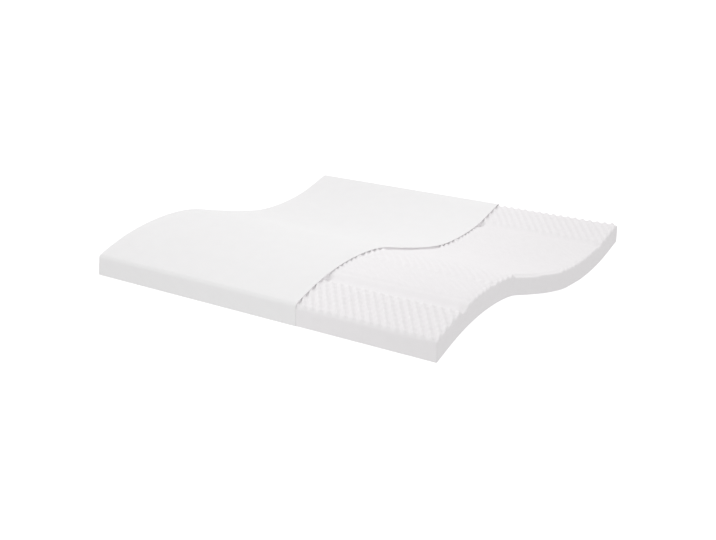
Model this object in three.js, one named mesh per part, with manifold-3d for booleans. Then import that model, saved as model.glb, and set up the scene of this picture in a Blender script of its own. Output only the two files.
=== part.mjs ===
// A foam mattress that lies in a long S-shaped wave, with its cover cut back to show the relief-cut core.
// Millimetres, +Z up. The origin is the middle of the footprint, at the level of what it lies on.
// +X runs across the width, from the covered side to the bare side. +Y runs along the length, from the front.
import * as THREE from 'three';
import Module from 'manifold-3d';

// Overall sizes. The slab is as long along its wave as it is wide, and its wave takes up a little less.
const width = 2000;
const slabLength = 2000;
const halfWidth = width / 2;
const halfLength = 980;
const coreThickness = 97;

// The cover's cloth, and how far it stands off the core
const sheet = 2.5;
const clearance = 0.3;
const coreInset = sheet + clearance;
const thickness = coreThickness + 2 * coreInset;

// The top edges are rounded. The core's are a little rounder than the cover's inside, which keeps them clear.
const coverRadius = 16;
const coreRadius = 16;

// The cover ends in a straight cut. The core's relief goes a little way in under it.
const coverWidth = 1267;
const cutX = coverWidth - halfWidth;
const reliefPitches = 16.5;
const halfPitch = (halfWidth - cutX) / (2 * reliefPitches);
const columnsUnderCover = 2;

// The underside's height along the length, at the places that shape the wave.
// It dips just below zero where the slab's weight presses it flat: along the front edge, and in the trough.
const frontRestY = -969;
const waveStations = [
  { y: -980, z: -4 },
  { y: -760, z: 77 },
  { y: -545, z: 118 },
  { y: -325, z: 120 },
  { y: -110, z: 75 },
  { y: 110, z: 29 },
  { y: 325, z: 0 },
  { y: 545, z: 4 },
  { y: 760, z: 38 },
  { y: 980, z: 105 },
];

// The relief from the front end to the middle of the slab, measured along it. The back half mirrors it.
// A zone's rows are evenly spaced. Its peaks and valleys lie this far below the full thickness.
const reliefZones = [
  { name: 'end', from: 8, to: 205, rows: 8, peak: 0, valley: 12 },
  { name: 'groove', from: 238, to: 260, rows: 2, peak: 25, valley: 25 },
  { name: 'rim', from: 270, to: 304, rows: 2, peak: 6, valley: 6 },
  { name: 'shoulder', from: 322, to: 504, rows: 11, peak: 1, valley: 6 },
  { name: 'back', from: 528, to: 710, rows: 8, peak: 0, valley: 11 },
  { name: 'middle', from: 732, to: 1000, rows: 6, peak: 13.5, valley: 13.5 },
];

const wave = new THREE.SplineCurve(waveStations.map(({ y, z }) => new THREE.Vector2(y, z)));
wave.arcLengthDivisions = 1000;

// The wave's height at y, and how much longer a vertical cut through the slab is there than a square one
function waveAt(y) {
  let low = 0;
  let high = 1;
  for (let step = 0; step < 40; step++) {
    const middle = (low + high) / 2;
    if (wave.getPoint(middle).x < y) low = middle;
    else high = middle;
  }
  const tangent = wave.getTangent(low);
  return { z: wave.getPoint(low).y, stretch: tangent.length() / tangent.x };
}

// The rows of the relief along the whole slab, with parity telling which columns have their peaks there
function reliefRows() {
  const front = [];
  for (const { from, to, rows, peak, valley } of reliefZones) {
    for (let row = 0; row < rows; row++) {
      const along = from + ((to - from) * row) / (rows - 1);
      front.push({ share: along / slabLength, peak, valley, parity: row % 2 });
    }
  }
  const back = front.slice(0, -1).map((row) => ({ ...row, share: 1 - row.share })).reverse();
  return [...front, ...back].map((row) => ({ ...row, y: wave.getPointAt(row.share).x }));
}

const rows = reliefRows();

// Distances from an edge at which a rounded edge gets its points
function roundingSteps(radius) {
  return [0, 30, 60, 90].map((degrees) => radius * (1 - Math.cos((degrees * Math.PI) / 180)));
}

// How far a surface lies below its full height near two edges that a ball of this radius rounds off
function edgeDrop(radius, fromSide, fromEnd) {
  const side = Math.max(0, radius - fromSide);
  const end = Math.max(0, radius - fromEnd);
  return radius - Math.sqrt(Math.max(0, radius * radius - side * side - end * end));
}

// The rows of a body whose faces lie this far inside the cover's outer face
function bodyRows(inset, radius) {
  const end = halfLength - inset;
  const steps = roundingSteps(radius);
  const frontRows = [frontRestY, ...steps.map((step) => step - end)].map((y) => ({ ...rows[0], y }));
  const backRows = steps.map((step) => ({ ...rows[rows.length - 1], y: end - step }));
  const between = rows.filter(({ y }) => Math.abs(y) < end - radius - 1);
  const all = [...frontRows, ...between, ...backRows].sort((a, b) => a.y - b.y);
  return all.map((row) => ({ ...row, ...waveAt(row.y) }));
}

function reliefDepth(row, column) {
  return (column + row.parity) % 2 === 0 ? row.peak : row.valley;
}

// One cross-section, anticlockwise as seen from the front: the underside, then the top from right to left
function section(row, inset, radius, rightX, bare) {
  const leftX = inset - halfWidth;
  const fromEnd = halfLength - inset - Math.abs(row.y);
  const underside = Math.max(0, row.z) + inset;
  const top = row.z + thickness * row.stretch - inset;
  const points = [
    [leftX, underside],
    [rightX, underside],
  ];
  if (bare) {
    for (let column = 2 * reliefPitches; column >= -columnsUnderCover; column--) {
      const drop = column > 0 ? 0 : edgeDrop(radius, radius, fromEnd);
      const depth = Math.max(drop, reliefDepth(row, Math.abs(column)));
      points.push([cutX + column * halfPitch, top - depth]);
    }
    points.push([cutX - (columnsUnderCover + 1) * halfPitch, top - edgeDrop(radius, radius, fromEnd)]);
  } else {
    points.push([rightX, top - edgeDrop(radius, radius, fromEnd)]);
  }
  for (const step of roundingSteps(radius).reverse()) {
    points.push([leftX + step, top - edgeDrop(radius, step, fromEnd)]);
  }
  return points;
}

// A closed body through cross-sections that all have the same number of points
function loft(sections, places) {
  const count = sections[0].length;
  const positions = [];
  const triangles = [];
  sections.forEach((points, k) => points.forEach(([x, z]) => positions.push(x, places[k], z)));
  const height = (index) => positions[3 * index + 2];
  for (let k = 0; k + 1 < sections.length; k++) {
    for (let i = 0; i < count; i++) {
      const a = k * count + i;
      const b = k * count + ((i + 1) % count);
      const c = b + count;
      const d = a + count;
      if (height(a) + height(c) > height(b) + height(d)) triangles.push(a, d, c, a, c, b);
      else triangles.push(a, d, b, b, d, c);
    }
  }
  const last = (sections.length - 1) * count;
  const outline = (points) => points.map(([x, z]) => new THREE.Vector2(x, z));
  for (const [a, b, c] of THREE.ShapeUtils.triangulateShape(outline(sections[0]), [])) {
    triangles.push(a, b, c);
  }
  for (const [a, b, c] of THREE.ShapeUtils.triangulateShape(outline(sections[sections.length - 1]), [])) {
    triangles.push(last + a, last + c, last + b);
  }
  const geometry = new THREE.BufferGeometry();
  geometry.setAttribute('position', new THREE.Float32BufferAttribute(positions, 3));
  geometry.setIndex(triangles);
  return geometry;
}

function body({ inset, radius, rightX, bare }) {
  const bodySections = bodyRows(inset, radius);
  const sections = bodySections.map((row) => section(row, inset, radius, rightX, bare));
  return loft(sections, bodySections.map(({ y }) => y));
}

const wasm = await Module();
wasm.setup();

function toManifold(geometry) {
  const vertProperties = new Float32Array(geometry.getAttribute('position').array);
  const triVerts = new Uint32Array(geometry.getIndex().array);
  return new wasm.Manifold(new wasm.Mesh({ numProp: 3, vertProperties, triVerts }));
}

function toGeometry(manifold) {
  const mesh = manifold.getMesh();
  const geometry = new THREE.BufferGeometry();
  geometry.setAttribute('position', new THREE.Float32BufferAttribute(mesh.vertProperties, 3));
  geometry.setIndex([...mesh.triVerts]);
  return geometry;
}

// The cover is a thin sleeve, closed at its left side and both ends, and open where it is cut.
function coverGeometry() {
  const outer = body({ inset: 0, radius: coverRadius, rightX: cutX, bare: false });
  const hollow = body({ inset: sheet, radius: coverRadius - sheet, rightX: cutX + halfPitch, bare: false });
  return toGeometry(toManifold(outer).subtract(toManifold(hollow)));
}

function piece(name, geometry, material) {
  geometry.computeVertexNormals();
  const mesh = new THREE.Mesh(geometry, material);
  mesh.name = name;
  return mesh;
}

const foam = new THREE.MeshStandardMaterial({ color: 0xf3f0f0, roughness: 0.95, metalness: 0 });
const knit = new THREE.MeshStandardMaterial({ color: 0xf4f4f4, roughness: 0.9, metalness: 0 });

const coreGeometry = body({ inset: coreInset, radius: coreRadius, rightX: halfWidth, bare: true });
const mattress = new THREE.Group();
mattress.add(piece('foam_core', coreGeometry, foam));
mattress.add(piece('cover', coverGeometry(), knit));

export default mattress;
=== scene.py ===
"""A foam mattress in a long wave: its zoned foam core, and the knitted cover that is cut back over it."""
import math

import bpy
import numpy as np
from mathutils import Matrix, Vector, noise


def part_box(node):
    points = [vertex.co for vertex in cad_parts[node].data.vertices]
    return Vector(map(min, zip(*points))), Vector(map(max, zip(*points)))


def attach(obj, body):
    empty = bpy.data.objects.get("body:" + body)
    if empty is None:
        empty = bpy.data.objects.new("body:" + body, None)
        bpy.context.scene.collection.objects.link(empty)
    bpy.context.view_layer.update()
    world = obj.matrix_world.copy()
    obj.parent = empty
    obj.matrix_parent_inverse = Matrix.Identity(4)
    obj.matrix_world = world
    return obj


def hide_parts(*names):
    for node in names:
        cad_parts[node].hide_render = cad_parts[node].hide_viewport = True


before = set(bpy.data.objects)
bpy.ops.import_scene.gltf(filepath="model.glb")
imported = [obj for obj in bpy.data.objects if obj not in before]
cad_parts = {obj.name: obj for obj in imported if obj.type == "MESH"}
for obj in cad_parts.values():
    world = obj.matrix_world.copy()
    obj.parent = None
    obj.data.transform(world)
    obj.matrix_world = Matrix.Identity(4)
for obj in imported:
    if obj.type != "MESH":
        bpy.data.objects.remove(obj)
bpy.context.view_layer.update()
bpy.ops.object.select_all(action="DESELECT")

# Sizes, in metres. The first five come from the parts in model.glb.
cover_low, cover_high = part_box("cover")
core_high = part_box("foam_core")[1]
LEFT = cover_low.x
CUT = cover_high.x
RIGHT = core_high.x
HALF_LENGTH = cover_high.y
THICKNESS = 0.1026
SLAB_LENGTH = 2.0
CLOTH = 0.0015
CORE_INSET = CLOTH + 0.0003
CORE_THICKNESS = THICKNESS - 2 * CORE_INSET

# The underside's height z along the length y. It dips below the floor where the foam is pressed flat.
WAVE_STATIONS = (
    (-0.980, -0.004),
    (-0.760, 0.077),
    (-0.545, 0.118),
    (-0.325, 0.120),
    (-0.110, 0.075),
    (0.110, 0.029),
    (0.325, 0.000),
    (0.545, 0.004),
    (0.760, 0.038),
    (0.980, 0.105),
)

# How round the edges are. The foam's right side was cut, so its top edge is sharper there. The radius
# changes over to that between two distances from the right side.
TOP_RADIUS = 0.016
COVER_BOTTOM_RADIUS = 0.005
BARE_BOTTOM_RADIUS = 0.0035
CUT_TOP_RADIUS = 0.009
CUT_RADIUS_FROM = 0.12
CUT_RADIUS_TO = 0.03
# Between these shares of a wall's height, its bottom edge's radius changes over to its top edge's
BOTTOM_EDGE_TO = 0.2
TOP_EDGE_FROM = 0.8

# A length that is as good as none
TINY = 1e-6


def smooth(low, high, value):
    """0 up to low, 1 from high on, and a smooth step between"""
    share = np.clip((value - low) / (high - low), 0, 1)
    return share * share * (3 - 2 * share)


def uneven(x, y, size, seed):
    """A soft unevenness between about -1 and 1, with hills this far apart"""
    places = np.stack([x / size, y / size, np.full(len(x), seed)], -1)
    return np.array([noise.noise(place) for place in places])


class Wave:
    """The long wave of the slab's underside, as points close together along it"""

    def __init__(self, stations, steps=120):
        stations = np.array(stations)
        last = len(stations) - 1
        points = []
        for i in range(last):
            before, here, there, after = (stations[min(max(i + k, 0), last)] for k in (-1, 0, 1, 2))
            out = (there - before) / 2
            into = (after - here) / 2
            t = np.linspace(0, 1, steps, endpoint=False)[:, None]
            cubic = 2 * here - 2 * there + out + into
            square = -3 * here + 3 * there - 2 * out - into
            points.append(cubic * t**3 + square * t**2 + out * t + here)
        points.append(stations[last:])
        self.y, self.z = np.concatenate(points).T
        steps_along = np.hypot(np.diff(self.y), np.diff(self.z))
        length = np.concatenate([[0], np.cumsum(steps_along)])
        self.along = length * SLAB_LENGTH / length[-1]
        self.stretch = np.hypot(1, np.gradient(self.z, self.y))

    def height_at(self, y):
        return np.interp(y, self.y, self.z)

    def stretch_at(self, y):
        """How much longer a vertical cut through the slab is here than a square one"""
        return np.interp(y, self.y, self.stretch)

    def along_at(self, y):
        """The distance from the front end, measured along the slab"""
        return np.interp(y, self.y, self.along)

    def y_at(self, along):
        return np.interp(along, self.along, self.y)


wave = Wave(WAVE_STATIONS)


# Slabs, made level and then laid in the wave

# A rounded edge has this many steps on each side of its middle, and no other place is closer to them
EDGE_STEPS = 4
EDGE_ROOM = 0.002
WALL_STEP = 0.011


def even_steps(low, high, step):
    return np.linspace(low, high, max(2, round((high - low) / step) + 1))


def edge_steps(radius):
    """Distances from an edge that give a rounded edge evenly spaced points"""
    angles = [math.radians(45 * k / EDGE_STEPS) for k in range(EDGE_STEPS + 1)]
    return [radius * (1 - math.tan(angle)) for angle in angles]


def with_edges(places, low_radius, high_radius):
    """Places along one side of a slab, with those near its two ends put where rounded edges need them"""
    low, high = places[0], places[-1]
    low_steps = [low + step for step in edge_steps(low_radius)] if low_radius else [low]
    high_steps = [high - step for step in edge_steps(high_radius)] if high_radius else [high]
    inner = [p for p in places if max(low_steps) + EDGE_ROOM < p < min(high_steps) - EDGE_ROOM]
    return np.array(sorted(low_steps + inner + high_steps))


def shell(columns, rows, levels, block=(1, 1), open_right=False):
    """A closed box of quads over a grid. Its underside has one face for each block of cells.
    Gives each point's column, row and level, and the faces, which point outwards."""
    index = {}
    last_column, last_row, last_level = len(columns) - 1, len(rows) - 1, len(levels) - 1

    def point(i, j, k):
        return index.setdefault((i, j, k), len(index))

    faces = []
    for j in range(last_row):
        for i in range(last_column):
            top = [(i, j), (i + 1, j), (i + 1, j + 1), (i, j + 1)]
            faces.append([point(a, b, last_level) for a, b in top])
    for k in range(last_level):
        for i in range(last_column):
            front = [(i, k), (i + 1, k), (i + 1, k + 1), (i, k + 1)]
            faces.append([point(a, 0, c) for a, c in front])
            faces.append([point(a, last_row, c) for a, c in reversed(front)])
        for j in range(last_row):
            left = [(j, k), (j, k + 1), (j + 1, k + 1), (j + 1, k)]
            faces.append([point(0, b, c) for b, c in left])
            if not open_right:
                faces.append([point(last_column, b, c) for b, c in reversed(left)])
    for j in range(0, last_row, block[1]):
        for i in range(0, last_column, block[0]):
            right = min(i + block[0], last_column)
            back = min(j + block[1], last_row)
            outline = [(a, j) for a in range(i, right)]
            outline += [(right, b) for b in range(j, back)]
            outline += [(a, back) for a in range(right, i, -1)]
            outline += [(i, b) for b in range(back, j, -1)]
            faces.append([point(a, b, 0) for a, b in reversed(outline)])
    i, j, k = np.array(list(index)).T
    return np.stack([columns[i], rows[j], levels[k]], -1), faces


def edge_radius(level, bottom, top):
    """How round the edges are at this share of a wall's height"""
    return bottom + (top - bottom) * smooth(BOTTOM_EDGE_TO, TOP_EDGE_FROM, level)


def rounded(points, low, high, radius):
    """Points of a box, pulled in where its edges are round. Each point has its own radius."""
    radius = radius[:, None]
    inner = np.clip(points, low + radius, high - radius)
    out = points - inner
    length = np.linalg.norm(out, axis=1, keepdims=True)
    return inner + out * np.where(length > radius, radius / np.maximum(length, TINY), 1)


def waved(points, inset):
    """Points of a level slab, laid in the wave. Their z is a share of the slab's thickness."""
    x, y, share = points.T
    height = wave.height_at(y)
    underside = np.maximum(height, 0) + inset
    top = height + THICKNESS * wave.stretch_at(y) - inset
    return np.stack([x, y, underside + share * (top - underside)], -1)


def mesh_object(name, points, faces, flat_places=None):
    mesh = bpy.data.meshes.new(name)
    mesh.from_pydata(points.tolist(), [], faces)
    if flat_places is not None:
        layer = mesh.uv_layers.new(name="cloth")
        corners = np.empty(len(mesh.loops), int)
        mesh.loops.foreach_get("vertex_index", corners)
        layer.data.foreach_set("uv", flat_places[corners].astype(np.float32).ravel())
    mesh.shade_smooth()
    mesh.update()
    obj = bpy.data.objects.new(name, mesh)
    bpy.context.scene.collection.objects.link(obj)
    return obj


# The relief in the foam's top

# From an end to the middle, measured along the slab: where a zone lies, how many rows of nubs and
# valleys it has, and how far these lie below the full thickness. Along the cover's cut edge it is as
# deep as "edge" says, and it comes this share of the way there along the foam's right side.
RELIEF_ZONES = (
    {"start": 0.008, "stop": 0.205, "rows": 8, "peak": 0.0000, "valley": 0.0100, "edge": 0.0120},
    {"start": 0.238, "stop": 0.250, "rows": 2, "peak": 0.0140, "valley": 0.0140, "edge": 0.0240},
    {"start": 0.290, "stop": 0.304, "rows": 2, "peak": 0.0050, "valley": 0.0050, "edge": 0.0060},
    {"start": 0.322, "stop": 0.504, "rows": 11, "peak": 0.0006, "valley": 0.0030, "edge": 0.0080},
    {"start": 0.528, "stop": 0.700, "rows": 8, "peak": 0.0006, "valley": 0.0036, "edge": 0.0110},
    {"start": 0.745, "stop": 1.000, "rows": 6, "peak": 0.0065, "valley": 0.0065, "edge": 0.0190},
)
RIGHT_EDGE_SHARE = 0.65
# The edge's depth fades out between these distances from the cut edge or the right side
EDGE_FROM = 0.012
EDGE_TO = 0.040

# The back half mirrors the front half. Its relief is gentler, down to this share of the depth, but for
# its very end and the cut edge. The one goes over into the other between two places along the slab.
BACK_SHARE = 0.5
BACK_END = 0.05
BACK_HALF_FROM = 0.95
BACK_HALF_TO = 1.05

HALF_PITCH = 0.022
FIRST_NUB = CUT - 0.0015
# Above 1, the nubs are narrow and the valleys between them wide
NUB_POWER = 1.25
# The nubs lean to ridges one way across the slab: the share of that, the rest being cross ridges
RIDGES = 0.84
# The nubs fade out towards the front end, and less so towards the back end
FRONT_FADE = 0.012
BACK_FADE = 0.004
# How much the nubs differ in height from place to place, and how far apart the high ones are
NUB_UNEVENNESS = 0.12
UNEVEN_SIZE = 0.11
UNEVEN_SEED = 3.7
# From this height on, nubs reach up through the edge's extra depth
FULL_NUBS = 0.002

# The relief ends in a short slope under the cut edge
SLOPE_FROM = CUT - 0.010
SLOPE_TO = CUT - 0.001
# Where the cloth stops holding it down, the foam stands up as high as the cloth
BULGE = 0.0014
BULGE_FROM = CUT + 0.0004
BULGE_TO = CUT + 0.005


def zones_at(from_end):
    """The depths of peaks, valleys and edges at these distances from the slab's end, and the row there"""
    places, counts, depths = [], [], []
    count = 0
    for zone in RELIEF_ZONES:
        count += count % 2
        places += [zone["start"], zone["stop"]]
        counts += [count, count + zone["rows"] - 1]
        depths += [(zone["peak"], zone["valley"], zone["edge"])] * 2
        count = counts[-1]
    depths = np.array(depths).T
    between = np.interp(from_end, places, np.arange(len(places)))
    before = np.clip(np.floor(between).astype(int), 0, len(places) - 2)
    change = depths[:, before + 1] - depths[:, before]
    peak, valley, edge = depths[:, before] + change * smooth(0, 1, between - before)
    row = np.interp(from_end, places, counts)
    row_before_first = (from_end - places[0]) / (places[1] - places[0]) * counts[1]
    return peak, valley, edge, np.where(from_end < places[0], row_before_first, row)


def relief_depth(x, y):
    """How far the foam's top lies below the full thickness, at places x, y"""
    along = wave.along_at(y)
    from_end = np.minimum(along, SLAB_LENGTH - along)
    in_back = smooth(BACK_HALF_FROM, BACK_HALF_TO, along)
    peak, valley, edge, row = zones_at(from_end)
    row = np.where(along > from_end, -row, row)
    column = (x - FIRST_NUB) / HALF_PITCH
    ridges = np.cos(np.pi * (column + row))
    cross_ridges = np.cos(np.pi * (column - row))
    crossing = RIDGES * ridges + (1 - RIDGES) * cross_ridges
    fade = FRONT_FADE + (BACK_FADE - FRONT_FADE) * in_back
    nubs = (0.5 + 0.5 * crossing) ** NUB_POWER * smooth(0, fade, from_end)
    nubs *= 1 + NUB_UNEVENNESS * uneven(x, along, UNEVEN_SIZE, UNEVEN_SEED)
    near_cut = 1 - smooth(EDGE_FROM, EDGE_TO, x - CUT)
    near_right = 1 - smooth(EDGE_FROM, EDGE_TO, RIGHT - x)
    near_edge = near_cut + RIGHT_EDGE_SHARE * near_right
    has_nubs = smooth(0, FULL_NUBS, valley - peak)
    depth = valley - (valley - peak) * nubs + (edge - valley) * near_edge * (1 - nubs * has_nubs)
    depth *= 1 - (1 - BACK_SHARE) * in_back * (1 - near_cut) * smooth(0, BACK_END, from_end)
    return depth * smooth(SLOPE_FROM, SLOPE_TO, x) - BULGE * smooth(BULGE_FROM, BULGE_TO, x)


# The foam core

# How far apart its points are: plain under the cover, a slope at the cut, and fine over the relief
PLAIN_STEP = 0.08
PLAIN_TO = SLOPE_FROM - 0.003
SLOPE_COLUMNS = 5
FINE_FROM = CUT + 0.001
FINE_STEP = 0.0045
NUB_ROW_STEP = 0.0048
FLAT_ROW_STEP = 0.014
UNDERSIDE_BLOCK = (16, 8)


def core_columns():
    plain = even_steps(LEFT + CORE_INSET, PLAIN_TO, PLAIN_STEP)
    slope = np.linspace(SLOPE_FROM, SLOPE_TO, SLOPE_COLUMNS)
    bare = even_steps(FINE_FROM, RIGHT, FINE_STEP)
    return with_edges(np.concatenate([plain, slope, bare]), TOP_RADIUS, CUT_TOP_RADIUS)


def core_rows(end):
    flat_from = RELIEF_ZONES[-1]["start"]
    nubs = even_steps(0, flat_from, NUB_ROW_STEP)
    flat = even_steps(flat_from, SLAB_LENGTH - flat_from, FLAT_ROW_STEP)
    along = np.concatenate([nubs[:-1], flat, SLAB_LENGTH - nubs[-2::-1]])
    rows = wave.y_at(along)
    rows[0], rows[-1] = -end, end
    return with_edges(rows[(rows >= -end) & (rows <= end)], TOP_RADIUS, TOP_RADIUS)


def make_core():
    end = HALF_LENGTH - CORE_INSET
    heights = with_edges(even_steps(0, CORE_THICKNESS, WALL_STEP), BARE_BOTTOM_RADIUS, TOP_RADIUS)
    points, faces = shell(core_columns(), core_rows(end), heights, block=UNDERSIDE_BLOCK)
    x, y, height = points.T
    at_right = smooth(-CUT_RADIUS_FROM, -CUT_RADIUS_TO, x - RIGHT)
    top_radius = TOP_RADIUS + (CUT_TOP_RADIUS - TOP_RADIUS) * at_right
    radius = edge_radius(height / CORE_THICKNESS, BARE_BOTTOM_RADIUS, top_radius)
    low = np.array([LEFT + CORE_INSET, -end, 0])
    high = np.array([RIGHT, end, CORE_THICKNESS])
    x, y, height = rounded(points, low, high, radius).T
    share = height / CORE_THICKNESS * (1 - relief_depth(x, y) / CORE_THICKNESS)
    return mesh_object("foam_slab", waved(np.stack([x, y, share], -1), CORE_INSET), faces)


# The cover

COVER_STEP = 0.014
# The cloth's top stands off the foam by up to this much, in soft waves this far apart. They start
# above this share of the wall's height, and fade out this close to the cut edge.
COVER_SLACK = 0.0012
COVER_WAVES = 0.16
COVER_SEED = 8.2
SLACK_FROM = 0.5
SLACK_FADE = 0.05
# The cut side isn't rounded, because the box that rounds the cover's edges goes on this far past it
PAST_CUT = 1
# Edges that turn by more than this stay sharp
SHARP_EDGE = math.radians(50)


def cloth_places(x, y, height):
    """The cloth's own flat places: across the girth, and along the slab and down its ends"""
    on_underside = height < TINY
    across = np.where(on_underside, LEFT - x - THICKNESS, x - LEFT + height)
    down = np.where(on_underside, 0, THICKNESS - height)
    along = np.where(y <= -HALF_LENGTH, -down, wave.along_at(y))
    along = np.where(y >= HALF_LENGTH, SLAB_LENGTH + down, along)
    return np.stack([across, along], -1)


def make_cover():
    columns = with_edges(even_steps(LEFT, CUT, COVER_STEP), TOP_RADIUS, 0)
    rows = wave.y_at(even_steps(0, SLAB_LENGTH, COVER_STEP))
    rows[0], rows[-1] = -HALF_LENGTH, HALF_LENGTH
    rows = with_edges(rows, TOP_RADIUS, TOP_RADIUS)
    heights = with_edges(even_steps(0, THICKNESS, WALL_STEP), COVER_BOTTOM_RADIUS, TOP_RADIUS)
    points, faces = shell(columns, rows, heights, open_right=True)
    flat_places = cloth_places(*points.T)
    radius = edge_radius(points[:, 2] / THICKNESS, COVER_BOTTOM_RADIUS, TOP_RADIUS)
    low = np.array([LEFT, -HALF_LENGTH, 0])
    high = np.array([CUT + PAST_CUT, HALF_LENGTH, THICKNESS])
    points = rounded(points, low, high, radius) / [1, 1, THICKNESS]
    x, y, share = points.T
    slack = 0.5 + 0.5 * uneven(x, wave.along_at(y), COVER_WAVES, COVER_SEED)
    slack *= smooth(SLACK_FROM, 1, share) * smooth(0, SLACK_FADE, CUT - x)
    points = waved(points, 0)
    points[:, 2] += COVER_SLACK * slack
    cover = mesh_object("knit_cover", points, faces, flat_places)
    solidify = cover.modifiers.new("cloth", "SOLIDIFY")
    solidify.thickness = CLOTH
    solidify.offset = -1
    solidify.use_even_offset = True
    solidify.use_rim = True
    bpy.ops.object.select_all(action="DESELECT")
    cover.select_set(True)
    bpy.context.view_layer.objects.active = cover
    bpy.ops.object.modifier_apply(modifier="cloth")
    bpy.ops.object.shade_smooth_by_angle(angle=SHARP_EDGE)
    return cover


# Finishes and light


class Result:
    """What a node gives out, a number for each point. Sums on it add Math nodes."""

    def __init__(self, shader, socket):
        self.shader = shader
        self.socket = socket

    def maths(self, operation, *values):
        return self.shader.node("Math", {"operation": operation}, dict(enumerate(values)))

    def __add__(self, other):
        return self.maths("ADD", self, other)

    def __radd__(self, other):
        return self.maths("ADD", other, self)

    def __sub__(self, other):
        return self.maths("SUBTRACT", self, other)

    def __rsub__(self, other):
        return self.maths("SUBTRACT", other, self)

    def __mul__(self, other):
        return self.maths("MULTIPLY", self, other)

    def __rmul__(self, other):
        return self.maths("MULTIPLY", other, self)

    def __truediv__(self, other):
        return self.maths("DIVIDE", self, other)

    def __rtruediv__(self, other):
        return self.maths("DIVIDE", other, self)

    def is_over(self, other):
        return self.maths("GREATER_THAN", self, other)

    def sine(self):
        return self.maths("SINE", self)

    def size(self):
        return self.maths("ABSOLUTE", self)

    def part(self):
        """What is left of it past its whole number"""
        return self.maths("FRACT", self)

    def step(self, low, high):
        """0 up to low, 1 from high on, and a smooth step between"""
        sockets = {"Value": self, "From Min": low, "From Max": high}
        return self.shader.node("MapRange", {"interpolation_type": "SMOOTHSTEP"}, sockets)


class Shader:
    """The nodes of a material, or of the light all round"""

    def __init__(self, owner):
        owner.use_nodes = True
        self.owner = owner
        self.nodes = owner.node_tree.nodes
        self.links = owner.node_tree.links
        self.nodes.clear()

    def node(self, kind, settings=None, sockets=None, output=0):
        """A node of this kind: its settings first, then the values or links of its sockets"""
        made = self.nodes.new("ShaderNode" + kind)
        for name, value in (settings or {}).items():
            setattr(made, name, value)
        for name, value in (sockets or {}).items():
            if isinstance(value, Result):
                self.links.new(value.socket, made.inputs[name])
            else:
                made.inputs[name].default_value = value
        return Result(self, made.outputs[output]) if made.outputs else None

    def axis(self, name, vector):
        return self.node("SeparateXYZ", None, {"Vector": vector}, output=name)

    def noise(self, vector, scale, detail):
        return self.node("TexNoise", None, {"Vector": vector, "Scale": scale, "Detail": detail})

    def cells(self, vector, scale):
        """The distance from the middle of the nearest cell, in shares of a cell"""
        return self.node("TexVoronoi", None, {"Vector": vector, "Scale": scale}, output="Distance")

    def mixed(self, share, first, second):
        """A colour between two. Sockets 6 and 7 and output 2 of a Mix node are its colours."""
        return self.node("Mix", {"data_type": "RGBA"}, {0: share, 6: first, 7: second}, output=2)

    def bump(self, strength, distance, height):
        sockets = {"Strength": strength, "Distance": distance, "Height": height}
        return self.node("Bump", None, sockets)

    def finished(self, **sockets):
        """The material, with what its surface's sockets are given by name"""
        named = {name.replace("_", " "): value for name, value in sockets.items()}
        surface = self.node("BsdfPrincipled", None, named)
        self.node("OutputMaterial", None, {"Surface": surface})
        return self.owner


WHITE = (1, 1, 1, 1)
# The light and dark colours of each finish: its marks and its painted shade both mix it towards the dark one
KNIT_LIGHT = (0.952, 0.945, 0.948, 1)
KNIT_DARK = (0.904, 0.896, 0.900, 1)
FOAM_LIGHT = (0.942, 0.924, 0.934, 1)
FOAM_DARK = (0.87, 0.85, 0.86, 1)
# The knit's columns of stitches and its rows of them are this far apart
WALE = 0.0018
COURSE = 0.0014
# How far a stitch's legs slant, in shares of a row
SLANT = 0.7


def knit_finish():
    """Fine white jersey: columns of small V stitches, a little fuzz, a faint mottle, and painted shade that
    darkens it towards the left
    """
    shader = Shader(bpy.data.materials.new("white_knit"))
    cloth = shader.node("UVMap", {"uv_map": "cloth"})
    across = shader.axis("X", cloth) / WALE
    along = shader.axis("Y", cloth) / COURSE
    leg = (across.part() - 0.5).size() * 2
    stitch = ((along + leg * SLANT) * (2 * math.pi)).sine() * 0.5 + 0.5
    ridge = 1 - (leg * 2 - 1).size()
    height = stitch * 0.5 + ridge * 0.5
    fuzz = shader.noise(cloth, scale=1400, detail=3)
    mottle = 1 - shader.noise(cloth, scale=14, detail=3).step(0.35, 0.65)
    place = shader.node("TexCoord", output="Object")
    # Painted shade: the knit's colour darkens towards the cover's left end, standing in for light that falls
    # off there
    painted_shade_to_left = 1 - shader.axis("X", place).step(LEFT, CUT)
    tone = (1 - height) * 0.32 + mottle * 0.14 + fuzz * 0.12 + painted_shade_to_left * 0.56
    colour = shader.mixed(tone, KNIT_LIGHT, KNIT_DARK)
    normal = shader.bump(strength=0.6, distance=0.0004, height=height + fuzz * 0.4)
    return shader.finished(Base_Color=colour, Roughness=0.9, Normal=normal, Sheen_Weight=0.12)


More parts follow.
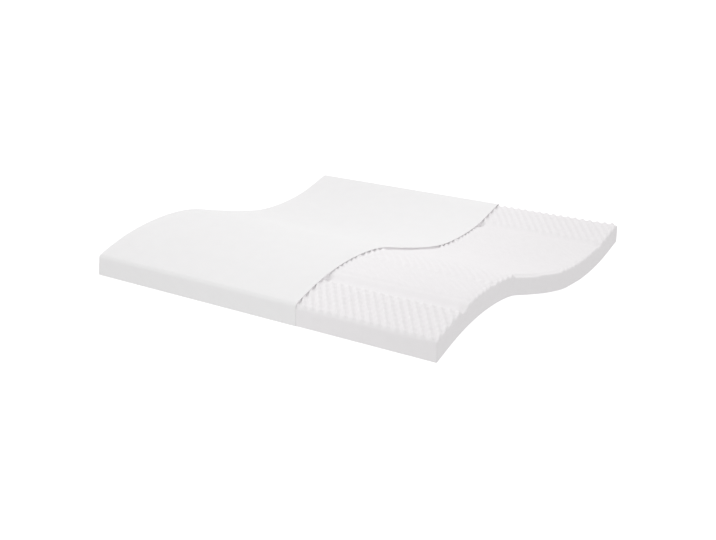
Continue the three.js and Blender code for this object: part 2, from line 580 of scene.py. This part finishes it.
def foam_finish():
    """Open-cell foam: fine cells with larger ones between, a faint mottle, and painted shade that darkens it
    towards the right side and the back
    """
    shader = Shader(bpy.data.materials.new("white_foam"))
    place = shader.node("TexCoord", output="Object")
    cells = shader.cells(place, scale=900)
    pits = 1 - shader.cells(place, scale=240).step(0.05, 0.3)
    grain = shader.noise(place, scale=420, detail=4)
    mottle = 1 - shader.noise(place, scale=22, detail=3).step(0.3, 0.7)
    # Painted shade: the foam's colour darkens towards its right side and towards the back, standing in for
    # light that falls off there
    to_right = shader.axis("X", place).step(CUT, RIGHT)
    to_back = shader.axis("Y", place).step(-0.5, 0.5)
    marks = pits * 0.3 + mottle * 0.15 + (1 - grain) * 0.2
    tone = marks + to_right * 0.5 + to_back * 0.25
    colour = shader.mixed(tone, FOAM_LIGHT, FOAM_DARK)
    height = cells * 0.5 + grain * 0.4 - pits * 0.8
    normal = shader.bump(strength=0.7, distance=0.0006, height=height)
    return shader.finished(Base_Color=colour, Roughness=0.97, Normal=normal)


# The pieces

core = make_core()
core.data.materials.append(foam_finish())
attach(core, "root")
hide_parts("foam_core")

cover = make_cover()
cover.data.materials.append(knit_finish())
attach(cover, "root")
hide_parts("cover")


# The room: a plain pale floor, soft light from above and all round, and the camera

FLOOR_SIZE = 600
FLOOR_COLOUR = (0.15, 0.15, 0.15, 1)
FLOOR_GLOW = 1.0

# The light from above and from below, and how much each grows towards the right and the back
SKY = (0.985, -0.27, 0.10)
BELOW = (0.67, 0.08, -0.06)

CAMERA_PLACE = Vector((3.0864, -4.6773, 1.6788))
CAMERA_AZIMUTH = math.radians(33.93)
CAMERA_DROP = math.radians(16.84)
CAMERA_ROLL = math.radians(1.386)
LENS = 55.09
SENSOR_WIDTH = 36
VIEW_DEPTH = 1000


def make_floor():
    """A plain white floor that shows, while the light from below comes from the room, as on a light table"""
    bpy.ops.mesh.primitive_plane_add(size=FLOOR_SIZE, location=(0, 0, 0))
    floor = bpy.context.object
    floor.name = "floor"
    glow = {"Emission_Color": WHITE, "Emission_Strength": FLOOR_GLOW}
    shader = Shader(bpy.data.materials.new("pale_floor"))
    floor.data.materials.append(shader.finished(Base_Color=FLOOR_COLOUR, Roughness=0.9, **glow))
    floor.visible_diffuse = False


def light_room():
    """One soft light all round, stronger from the left and from behind, and weaker from below"""
    shader = Shader(bpy.data.worlds.new("soft_room"))
    direction = shader.node("TexCoord", output="Generated")
    rightwards, backwards, upwards = (shader.axis(name, direction) for name in "XYZ")

    def graded(middle, to_right, to_back):
        return rightwards * to_right + middle + backwards * to_back

    above = upwards.is_over(0)
    strength = graded(*SKY) * above + graded(*BELOW) * (1 - above)
    light = shader.node("Background", None, {"Color": WHITE, "Strength": strength})
    shader.node("OutputWorld", None, {"Surface": light})
    bpy.context.scene.world = shader.owner


def add_camera():
    """The camera looks along its azimuth, which is 0 along the length, and downwards by its drop"""
    leftwards, forwards = math.sin(CAMERA_AZIMUTH), math.cos(CAMERA_AZIMUTH)
    level_share = math.cos(CAMERA_DROP)
    ahead = Vector((-leftwards * level_share, forwards * level_share, -math.sin(CAMERA_DROP)))
    right = Vector((forwards, leftwards, 0))
    up = right.cross(ahead)
    turned_right = right * math.cos(CAMERA_ROLL) + up * math.sin(CAMERA_ROLL)
    turned_up = up * math.cos(CAMERA_ROLL) - right * math.sin(CAMERA_ROLL)
    turn = Matrix((turned_right, turned_up, -ahead)).transposed()
    camera = bpy.data.objects.new("camera", bpy.data.cameras.new("camera"))
    camera.data.lens = LENS
    camera.data.sensor_width = SENSOR_WIDTH
    camera.data.sensor_fit = "HORIZONTAL"
    camera.data.clip_end = VIEW_DEPTH
    camera.matrix_world = Matrix.Translation(CAMERA_PLACE) @ turn.to_4x4()
    bpy.context.scene.collection.objects.link(camera)
    bpy.context.scene.camera = camera


make_floor()
light_room()
add_camera()
bpy.context.scene.view_settings.view_transform = "Standard"
bpy.context.scene.view_settings.look = "None"
